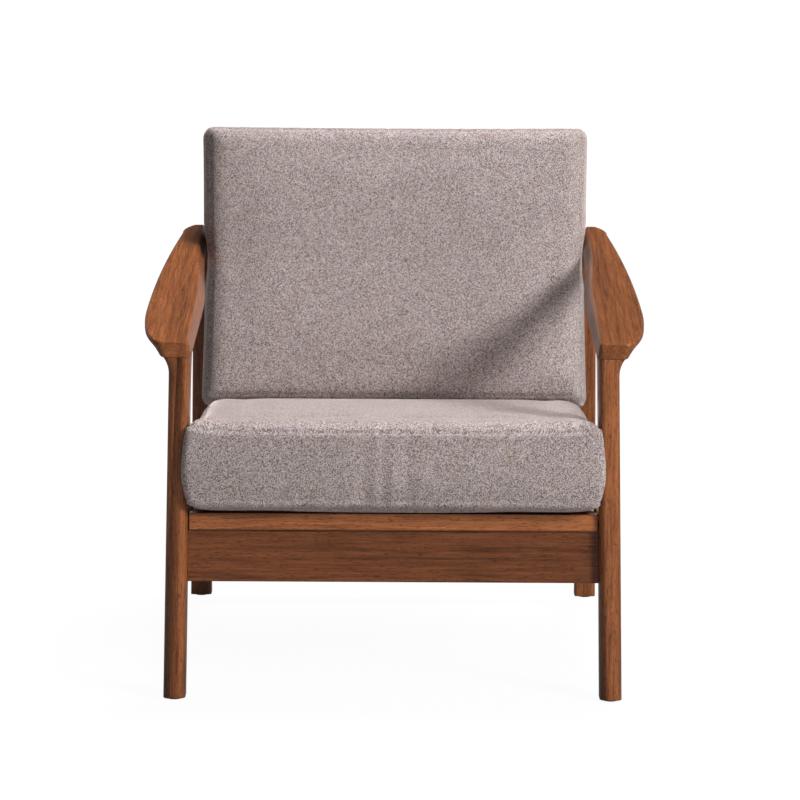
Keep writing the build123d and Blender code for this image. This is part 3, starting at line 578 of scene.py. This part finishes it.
def stitches(name, loops, axes, sizes, body, material):
    """Rows of sewn stitches along seams.

    Each is a small spindle: its radius is thread / 2 times the root of 1 - t squared, for t from -1 to 1.
    """
    walks = [even_walk(loop, sizes.stitch_pitch) for loop in loops]
    middles, headings = (np.vstack(rows) for rows in zip(*walks))
    t = np.array([-0.99, -0.7, 0.0, 0.7, 0.99])
    sides = 6
    turn = np.arange(sides) * 2 * math.pi / sides
    up = np.array([0.0, 0.0, 1.0])
    side = np.cross(headings, up)
    radius = sizes.thread / 2 * np.sqrt(1 - t ** 2)
    ring = np.cos(turn)[:, None, None] * side + np.sin(turn)[:, None, None] * up
    line = t[:, None, None, None] * sizes.stitch / 2 * headings
    spindle = middles + line + radius[:, None, None, None] * ring
    points = spindle.transpose(2, 0, 1, 3).reshape(-1, 3)
    starts = np.arange(len(middles)) * len(t) * sides
    faces = starts[:, None, None] + ring_faces(len(t), sides)
    return new_piece(name, axes.world(points), faces.reshape(-1, 4), body, material)


def rest_plane(axes):
    """Normal and height of the plane that the back cushion stands on: the flat side under its cover."""
    mesh = NODES["back_cushion_cover"].data
    count = len(mesh.polygons)
    facing = np.empty(count * 3)
    area = np.empty(count)
    mesh.polygons.foreach_get("normal", facing)
    mesh.polygons.foreach_get("area", area)
    facing = facing.reshape(-1, 3)
    under = np.where(facing @ axes.along < -0.95, area, 0)
    normal = -(facing * under[:, None]).sum(0)
    normal /= np.linalg.norm(normal)
    return normal, (coordinates(mesh) @ normal).min()


def cushion(name, body, axes, core, cover, seam, puff, sizes, tight, shaped):
    """A sewn box cushion: the foam swollen by cloth pressure between pinned seams, then creased along them.

    tight limits the swelling where a neighbour is close; shaped moves local points for dents and rests.
    """
    foam = even_foam(name, core, sizes.voxel)
    start = coordinates(foam)
    facing = normals(foam)
    local = axes.local(start)
    cap = np.where(tight(local), sizes.cover, puff)
    seams = (seam, sizes.low_seam)
    held = np.min([np.abs(local[:, 2] - level) for level in seams], axis=0) < 0.5 * sizes.voxel
    step = swollen(foam, held, pressure=4.0) - start
    step *= puff / np.quantile(np.linalg.norm(step, axis=1), 0.98)
    place_points(foam, start + facing * sizes.cover + limited(step, cap - sizes.cover))
    pad = bpy.data.objects.new(name, foam)
    bpy.context.scene.collection.objects.link(pad)
    # The flat of the outer panel is eased, so that the steps of the even mesh don't show
    panel_depth = 5 * MM
    panel = pad.vertex_groups.new(name="panel")
    panel.add(np.flatnonzero(local[:, 2] > axes.full - panel_depth).tolist(), 1.0, "REPLACE")
    ease = pad.modifiers.new("ease", "SMOOTH")
    ease.vertex_group = panel.name
    ease.factor = 0.5
    ease.iterations = 60
    smooth = pad.modifiers.new("smooth", "SUBSURF")
    smooth.levels = smooth.render_levels = 1
    wrap = pad.modifiers.new("wrap", "SHRINKWRAP")
    wrap.vertex_group = panel.name
    wrap.invert_vertex_group = True
    wrap.target = NODES[core]
    wrap.wrap_method = "NEAREST_SURFACEPOINT"
    wrap.wrap_mode = "OUTSIDE"
    wrap.offset = sizes.cover
    mesh = finished_copy(pad)
    mesh.materials.clear()
    bpy.data.objects.remove(pad)

    local = axes.local(coordinates(mesh))
    outward = normals(mesh)
    walls = 1 - np.clip(np.abs(outward @ axes.out) * 1.6 - 0.6, 0, 1)
    around = np.arctan2(local[:, 1] - (axes.rear + axes.front) / 2, local[:, 0]) * axes.half
    inward = np.zeros(len(local))
    for number, (level, pull) in enumerate(((seam, 1.0), (sizes.low_seam, 0.4))):
        gap = np.abs(local[:, 2] - level)
        gathers = ripple(around, spacing=22 * MM, seed=number + 3)
        inward += walls * pull * sizes.seam_depth * bell(gap, sizes.seam_width)
        inward += walls * sizes.pucker * gathers * bell(gap, 9 * MM)
    local = axes.local(axes.world(local) - outward * inward[:, None])
    local = shaped(local)
    local[:, 2] = np.maximum(local[:, 2], 0.1 * MM)
    place_points(mesh, axes.world(local))
    weave_map(mesh, axes, seam)
    mesh.polygons.foreach_set("use_smooth", np.ones(len(mesh.polygons), bool))
    piece = bpy.data.objects.new(name, mesh)
    bpy.context.scene.collection.objects.link(piece)
    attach(piece, body)
    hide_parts(cover, core)
    return piece


def cloth_material():
    """The cloth, made once and shared."""
    made = bpy.data.materials.get("heathered_woven_cloth")
    return made or heathered_cloth(bpy.context.scene.chair_finishes)


def thread_material():
    """Twisted polyester sewing thread, made once and shared: smoother and darker than the cloth."""
    made = bpy.data.materials.get("polyester_thread")
    return made or moulded("polyester_thread", tuple(bpy.context.scene.chair_finishes.thread), 0.7)


class CHAIR_OT_seat_cushion(bpy.types.Operator):
    """Make the loose seat cushion with its seams and stitches"""

    bl_idname = "chair.seat_cushion"
    bl_label = "Seat cushion"

    def execute(self, context):
        sizes = context.scene.chair_sizes
        axes = CushionFrame("seat_cushion", "seat_cushion_cover", run=(1.0, 0.7))
        leg_front = -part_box("left_front_leg")[0].y

        def tight(local):
            """Beside the legs, and over the whole top, where the back cushion stands."""
            beside = (np.abs(local[:, 0]) > axes.half - 40 * MM) & (local[:, 1] < leg_front + 12 * MM)
            return beside | (local[:, 2] > sizes.seat_seam + 6 * MM) | (local[:, 1] < axes.rear + 30 * MM)

        def shaped(local):
            """A crowned top with fuller side edges and lower rear ends, a lifted front edge, and dents."""
            # How far the cover goes beyond an even swelling, or falls short of it
            end_bulge, edge_rise, rear_drop, crown = (size * MM for size in (4, 11, 9, 8))
            # The lower front edge rises in two steps: height, start and end behind the front
            rolls = ((5 * MM, 85 * MM, 38 * MM), (9 * MM, 38 * MM, 4 * MM))
            corner_lift = 3 * MM
            # Dents in the slack middle of the nose: depth, place across and half width
            dents = (
                (3.4 * MM, -42 * MM, 12 * MM),
                (2.4 * MM, -14 * MM, 9 * MM),
                (3.0 * MM, 20 * MM, 13 * MM),
            )

            nose = np.clip((local[:, 1] - axes.front + 60 * MM) / (50 * MM), 0, 1)
            forward = ramp(local[:, 1], leg_front, leg_front + 10 * MM)
            ends = forward * ramp(np.abs(local[:, 0]), axes.half - 30 * MM, axes.half)
            waist = bell(local[:, 2] - axes.full / 2, 60 * MM)
            local[:, 0] += np.sign(local[:, 0]) * end_bulge * ends * waist

            upper = ramp(local[:, 2], 80 * MM, 108 * MM)
            across = np.abs(local[:, 0])
            inset = np.maximum(0, axes.half - 7 * MM * (1 - forward) - across)
            clear = ramp(local[:, 1], -110 * MM, 60 * MM)
            outer = ramp(across, axes.half - 130 * MM, axes.half - 10 * MM)
            local[:, 2] += edge_rise * upper * clear * np.exp(-inset / (25 * MM))
            local[:, 2] -= rear_drop * upper * (1 - clear) * outer
            local[:, 2] += crown * upper * bell(local[:, 1] - 150 * MM, 120 * MM)

            lift = corner_lift * forward * ramp(across, axes.half - 35 * MM, axes.half)
            for rise, start, end in rolls:
                lift += rise * ramp(local[:, 1], axes.front - start, axes.front - end)
            local[:, 2] += lift * (1 - ramp(local[:, 2], 0, 60 * MM))

            height = np.clip(1.1 - local[:, 2] / axes.full, 0, 1)
            for depth, place, width in dents:
                local[:, 1] -= depth * bell(local[:, 0] - place, width) * nose * height
            local[:, 1] = np.clip(local[:, 1], axes.rear, axes.front + 4 * MM)
            return local

        piece = cushion(
            "seat_cushion_soft", "seat_cushion", axes, "seat_cushion_core", "seat_cushion_cover",
            sizes.seat_seam, sizes.seat_puff, sizes, tight, shaped,
        )
        piece.data.materials.append(cloth_material())
        loops = [seam_loop(piece.data, axes, sizes.seat_seam - 4 * MM)]
        stitches("seat_stitches", loops, axes, sizes, "seat_cushion", thread_material())
        return {"FINISHED"}


class CHAIR_OT_back_cushion(bpy.types.Operator):
    """Make the loose back cushion with its seams and stitches"""

    bl_idname = "chair.back_cushion"
    bl_label = "Back cushion"

    def execute(self, context):
        sizes = context.scene.chair_sizes
        axes = CushionFrame("back_cushion", "back_cushion_cover")
        arm = coordinates(NODES["left_arm"].data)
        arm_middle = arm.mean(0) * (0, 1, 1)
        arm_normal = np.linalg.svd(arm - arm.mean(0), full_matrices=False)[2][2] * (0, 1, 1)
        arm_normal *= np.sign(arm_normal[2]) / np.linalg.norm(arm_normal)
        rest_normal, rest = rest_plane(axes)

        def tight(local):
            """Between the arms, and against the back frame and the seat."""
            beside = np.abs(local[:, 0]) > axes.half - 25 * MM
            return beside | (local[:, 2] < 30 * MM) | (local[:, 1] < axes.rear + 40 * MM)

        def shaped(local):
            """Sides that bulge over and under the arms, and a lower side that lies flat on the seat."""
            everywhere, over_arm, under_arm = (size * MM for size in (1.5, 6, 3))
            points = axes.world(local)
            level = (points - arm_middle) @ arm_normal
            fuller = everywhere + over_arm * ramp(level, -12 * MM, 40 * MM)
            fuller += under_arm * ramp(-level, 30 * MM, 60 * MM)
            sides = ramp(np.abs(local[:, 0]), axes.half - 70 * MM, axes.half)
            bulge = fuller * sides * bell(local[:, 2] - 80 * MM, 60 * MM)
            points[:, 0] += np.sign(points[:, 0]) * bulge
            sunk = np.maximum(0, rest - points @ rest_normal)
            return axes.local(points + sunk[:, None] * rest_normal)

        piece = cushion(
            "back_cushion_soft", "back_cushion", axes, "back_cushion_core", "back_cushion_cover",
            sizes.back_seam, sizes.back_puff, sizes, tight, shaped,
        )
        piece.data.materials.append(cloth_material())
        loops = [seam_loop(piece.data, axes, sizes.back_seam - 4 * MM)]
        stitches("back_stitches", loops, axes, sizes, "back_cushion", thread_material())
        return {"FINISHED"}


class CHAIR_OT_walnut(bpy.types.Operator):
    """Give the lacquered pieces their walnut stain, each with its grain along the piece"""

    bl_idname = "chair.walnut"
    bl_label = "Walnut-stained frame"

    def execute(self, context):
        finishes = context.scene.chair_finishes
        groups = {
            # Painted shade: the rails get a darker stain, standing in for the shade under the seat
            "rails": ("front_apron", "rear_apron", "back_top_rail", "back_bottom_rail"),
            # Partly a paler board, partly painted light: the strip's paler stain also stands in for the light it
            # catches
            "front_strip": ("seat_front_rail",),
            "left_arm": ("left_arm",),
            "right_arm": ("right_arm",),
            "front_legs": ("left_front_leg", "right_front_leg"),
            "rear_legs": ("left_rear_leg", "right_rear_leg"),
            "side_rails": ("left_side_rail", "right_side_rail"),
            "back": ("back_left_stile", "back_right_stile", *(f"back_slat_{n}" for n in range(1, 6))),
        }
        # Hand-sanded pieces have the widest turns
        rounding = {"left_arm": 3.5, "right_arm": 3.5, "front_legs": 3.0}
        # Painted shade: the right arm's stain is a fifth darker, standing in for the shading that leaves it darker
        # than the left arm
        painted_shade_factors = {"right_arm": 0.8}
        for group, nodes in groups.items():
            kind = {"front_strip": "strip", "rails": "rail"}.get(group, "walnut")
            tone = painted_shade_factors.get(group, 1.0)
            light, dark = (
                (*(tone * share for share in getattr(finishes, f"{kind}_{end}")[:3]), 1.0)
                for end in ("light", "dark")
            )
            material = wood(
                f"walnut_stained_{group}", lengthwise(nodes[0]), light, dark,
                tuple(finishes.walnut_pore), lacquered=True, ease=rounding.get(group, 1.4) * MM,
                axis=middle_line("left_front_leg") if group == "front_legs" else None,
            )
            for node in nodes:
                dress(node, material)
        return {"FINISHED"}


class CHAIR_OT_bare_wood(bpy.types.Operator):
    """Give the hidden pieces of the seat their bare wood"""

    bl_idname = "chair.bare_wood"
    bl_label = "Bare wood"

    def execute(self, context):
        finishes = context.scene.chair_finishes
        plain = [node for node, slot in SLOTS.items() if slot in ("plain_wood", "beech_dowel")]
        crosswise = [node for node in plain if abs(lengthwise(node)[0]) > 0.9]
        lengthways = [node for node in plain if node not in crosswise]
        for name, nodes, direction in (
            ("bare_wood_across", crosswise, (1, 0, 0)),
            ("bare_wood_along", lengthways, tuple(SLIDES["seat_cushion"])),
        ):
            material = wood(
                name, direction, tuple(finishes.plain_light), tuple(finishes.plain_dark),
                tuple(finishes.plain_dark), lacquered=False,
            )
            for node in nodes:
                dress(node, material)
        return {"FINISHED"}


class CHAIR_OT_fittings(bpy.types.Operator):
    """Finish the bolts, screws, inserts and glides"""

    bl_idname = "chair.fittings"
    bl_label = "Fittings"

    def execute(self, context):
        finishes = context.scene.chair_finishes
        zinc = zinc_plate(tuple(finishes.zinc))
        nylon = moulded("moulded_nylon", tuple(finishes.nylon), 0.5)
        tape = moulded("nylon_zip", tuple(finishes.tape), 0.6)
        for node, slot in SLOTS.items():
            if slot == "zinc_steel":
                dress(node, zinc)
            if slot == "nylon":
                dress(node, tape if node.endswith("zip") else nylon)
        return {"FINISHED"}


class CHAIR_OT_stage(bpy.types.Operator):
    """Set the camera, the pale floor, the lamps and the white surround"""

    bl_idname = "chair.stage"
    bl_label = "Stage"

    def execute(self, context):
        scene = context.scene
        scene.view_settings.view_transform = "Standard"

        # Camera of the photograph: a long lens in front of the chair, a little above it
        photo_width = 800
        focal_pixels = 3382
        principal_column = 394
        sensor = 36.0
        look_down, turn = math.radians(9.9), math.radians(0.3)
        lens = bpy.data.cameras.new("camera")
        lens.sensor_width = sensor
        lens.lens = focal_pixels / photo_width * sensor
        lens.shift_x = (photo_width / 2 - principal_column) / photo_width
        camera = bpy.data.objects.new("camera", lens)
        pitch = Matrix.Rotation(math.pi / 2 - look_down, 4, "X")
        roll = Matrix.Rotation(turn, 4, "Z")
        camera.matrix_world = Matrix.Translation((0, -4.999, 1.251)) @ pitch @ roll
        scene.collection.objects.link(camera)
        scene.camera = camera

        # Floor: pale, white to the eye, and it keeps part of the chair's shadow
        white, grey = (1, 1, 1, 1), (0.42, 0.42, 0.42, 1)
        reach = 40.0
        corners = [(-reach, -reach, 0), (reach, -reach, 0), (reach, reach, 0), (-reach, reach, 0)]
        mesh = bpy.data.meshes.new("floor")
        mesh.from_pydata(corners, [], [(0, 1, 2, 3)])
        floor = bpy.data.objects.new("floor", mesh)
        scene.collection.objects.link(floor)
        material = bpy.data.materials.new("pale_studio_floor")
        material.use_nodes = True
        tree = material.node_tree
        tree.nodes.clear()
        paths = add_node(tree, "ShaderNodeLightPath").outputs
        # Near the chair part of the matt floor shows, with the shadow; farther off it is plain white
        place = add_node(tree, "ShaderNodeTexCoord").outputs["Object"]
        away = add_node(tree, "ShaderNodeVectorMath", {0: place}, operation="LENGTH").outputs["Value"]
        plain = add_node(
            tree, "ShaderNodeMapRange",
            {"Value": away, "From Min": 0.7, "From Max": 1.5, "To Min": 0.92, "To Max": 1.0},
            interpolation_type="SMOOTHSTEP",
        ).outputs[0]
        share = add_node(
            tree, "ShaderNodeMath", {0: paths["Is Camera Ray"], 1: plain, 2: paths["Is Glossy Ray"]},
            operation="MULTIPLY_ADD",
        ).outputs[0]
        # Lacquer mirrors a dimmer floor, as with a dark screen laid in front of the chair
        glow = add_node(
            tree, "ShaderNodeMapRange", {"Value": paths["Is Glossy Ray"], "To Min": 1.05, "To Max": 0.15}
        ).outputs[0]
        matt = add_node(tree, "ShaderNodeBsdfDiffuse", {"Color": grey}).outputs[0]
        bright = add_node(tree, "ShaderNodeEmission", {"Color": white, "Strength": glow}).outputs[0]
        mix = add_node(tree, "ShaderNodeMixShader", {0: share, 1: matt, 2: bright}).outputs[0]
        add_node(tree, "ShaderNodeOutputMaterial", {"Surface": mix})
        mesh.materials.append(material)

        # Surround: white to the eye, dim in reflections, and a weak even light
        world = bpy.data.worlds.new("studio")
        world.use_nodes = True
        scene.world = world
        tree = world.node_tree
        tree.nodes.clear()
        paths = add_node(tree, "ShaderNodeLightPath").outputs
        way = add_node(tree, "ShaderNodeTexCoord").outputs["Generated"]
        parts = add_node(tree, "ShaderNodeSeparateXYZ", {0: way}).outputs
        beside = add_node(tree, "ShaderNodeMath", {0: parts["X"]}, operation="ABSOLUTE").outputs[0]

        def light(strength):
            """White light of a strength."""
            return add_node(tree, "ShaderNodeBackground", {"Color": white, "Strength": strength}).outputs[0]

        # Two dark screens beside the chair draw the dark edges along its lacquered sides
        screen = add_node(
            tree, "ShaderNodeMapRange",
            {"Value": beside, "From Min": 0.4, "From Max": 0.8, "To Min": 1.0, "To Max": 0.15},
            interpolation_type="SMOOTHSTEP",
        ).outputs[0]
        dimmed = add_node(tree, "ShaderNodeMath", {0: screen, 1: 0.14}, operation="MULTIPLY").outputs[0]
        # The white backdrop ends above head height, and the room over it is dim
        backdrop = add_node(
            tree, "ShaderNodeMapRange",
            {"Value": parts["Z"], "From Min": 0.12, "From Max": 0.32, "To Min": 0.35, "To Max": 0.05},
            interpolation_type="SMOOTHSTEP",
        ).outputs[0]
        shown = add_node(tree, "ShaderNodeMath", {0: screen, 1: backdrop}, operation="MULTIPLY").outputs[0]
        glints = add_node(
            tree, "ShaderNodeMath", {0: paths["Is Glossy Ray"], 1: paths["Is Transmission Ray"]},
            operation="MAXIMUM",
        ).outputs[0]
        lit = add_node(tree, "ShaderNodeMixShader", {0: glints, 1: light(dimmed), 2: light(shown)}).outputs[0]
        seen = {0: paths["Is Camera Ray"], 1: lit, 2: light(1.0)}
        mix = add_node(tree, "ShaderNodeMixShader", seen).outputs[0]
        add_node(tree, "ShaderNodeOutputWorld", {"Surface": mix})

        # A small softbox to the right and a little above, and a wider one almost overhead, a little behind:
        # degrees from the front and up, metres away and wide, watts
        lamps = (("side", 50, 26, 6.4, 1.6, 415.0), ("key", 150, 75, 6.0, 2.0, 440.0))
        middle = Vector((0, 0, 0.45))
        for name, azimuth, elevation, distance, width, watts in lamps:
            softbox = bpy.data.lights.new(name, "AREA")
            softbox.size = width
            softbox.energy = watts
            lamp = bpy.data.objects.new(name, softbox)
            a, e = math.radians(azimuth), math.radians(elevation)
            towards = Vector((math.sin(a) * math.cos(e), -math.cos(a) * math.cos(e), math.sin(e)))
            turned = towards.to_track_quat("Z", "Y").to_matrix().to_4x4()
            lamp.matrix_world = Matrix.Translation(middle + towards * distance) @ turned
            lamp.visible_camera = False
            # Seen from above, the arms would mirror the overhead softbox as a white patch
            lamp.visible_glossy = name != "key"
            scene.collection.objects.link(lamp)
        return {"FINISHED"}


class CHAIR_PT_looks(bpy.types.Panel):
    """Lists the chair's pieces"""

    bl_label = "Armchair"
    bl_idname = "CHAIR_PT_looks"
    bl_space_type = "VIEW_3D"
    bl_region_type = "UI"
    bl_category = "Armchair"

    def draw(self, context):
        for operator in OPERATORS:
            self.layout.operator(operator.bl_idname)
        for group in (context.scene.chair_sizes, context.scene.chair_finishes):
            box = self.layout.box()
            for name in group.__annotations__:
                box.prop(group, name)


OPERATORS = (
    CHAIR_OT_stage,
    CHAIR_OT_walnut,
    CHAIR_OT_bare_wood,
    CHAIR_OT_fittings,
    CHAIR_OT_seat_cushion,
    CHAIR_OT_back_cushion,
)
CLASSES = (ChairFinishes, ChairSizes, *OPERATORS, CHAIR_PT_looks)


def register():
    for one in CLASSES:
        bpy.utils.register_class(one)
    bpy.types.Scene.chair_finishes = bpy.props.PointerProperty(type=ChairFinishes)
    bpy.types.Scene.chair_sizes = bpy.props.PointerProperty(type=ChairSizes)


def unregister():
    del bpy.types.Scene.chair_sizes
    del bpy.types.Scene.chair_finishes
    for one in reversed(CLASSES):
        bpy.utils.unregister_class(one)


def main():
    """Builds every piece in order."""
    register()
    bpy.ops.chair.stage()
    bpy.ops.chair.walnut()
    bpy.ops.chair.bare_wood()
    bpy.ops.chair.fittings()
    bpy.ops.chair.seat_cushion()
    bpy.ops.chair.back_cushion()


if __name__ == "__main__":
    main()
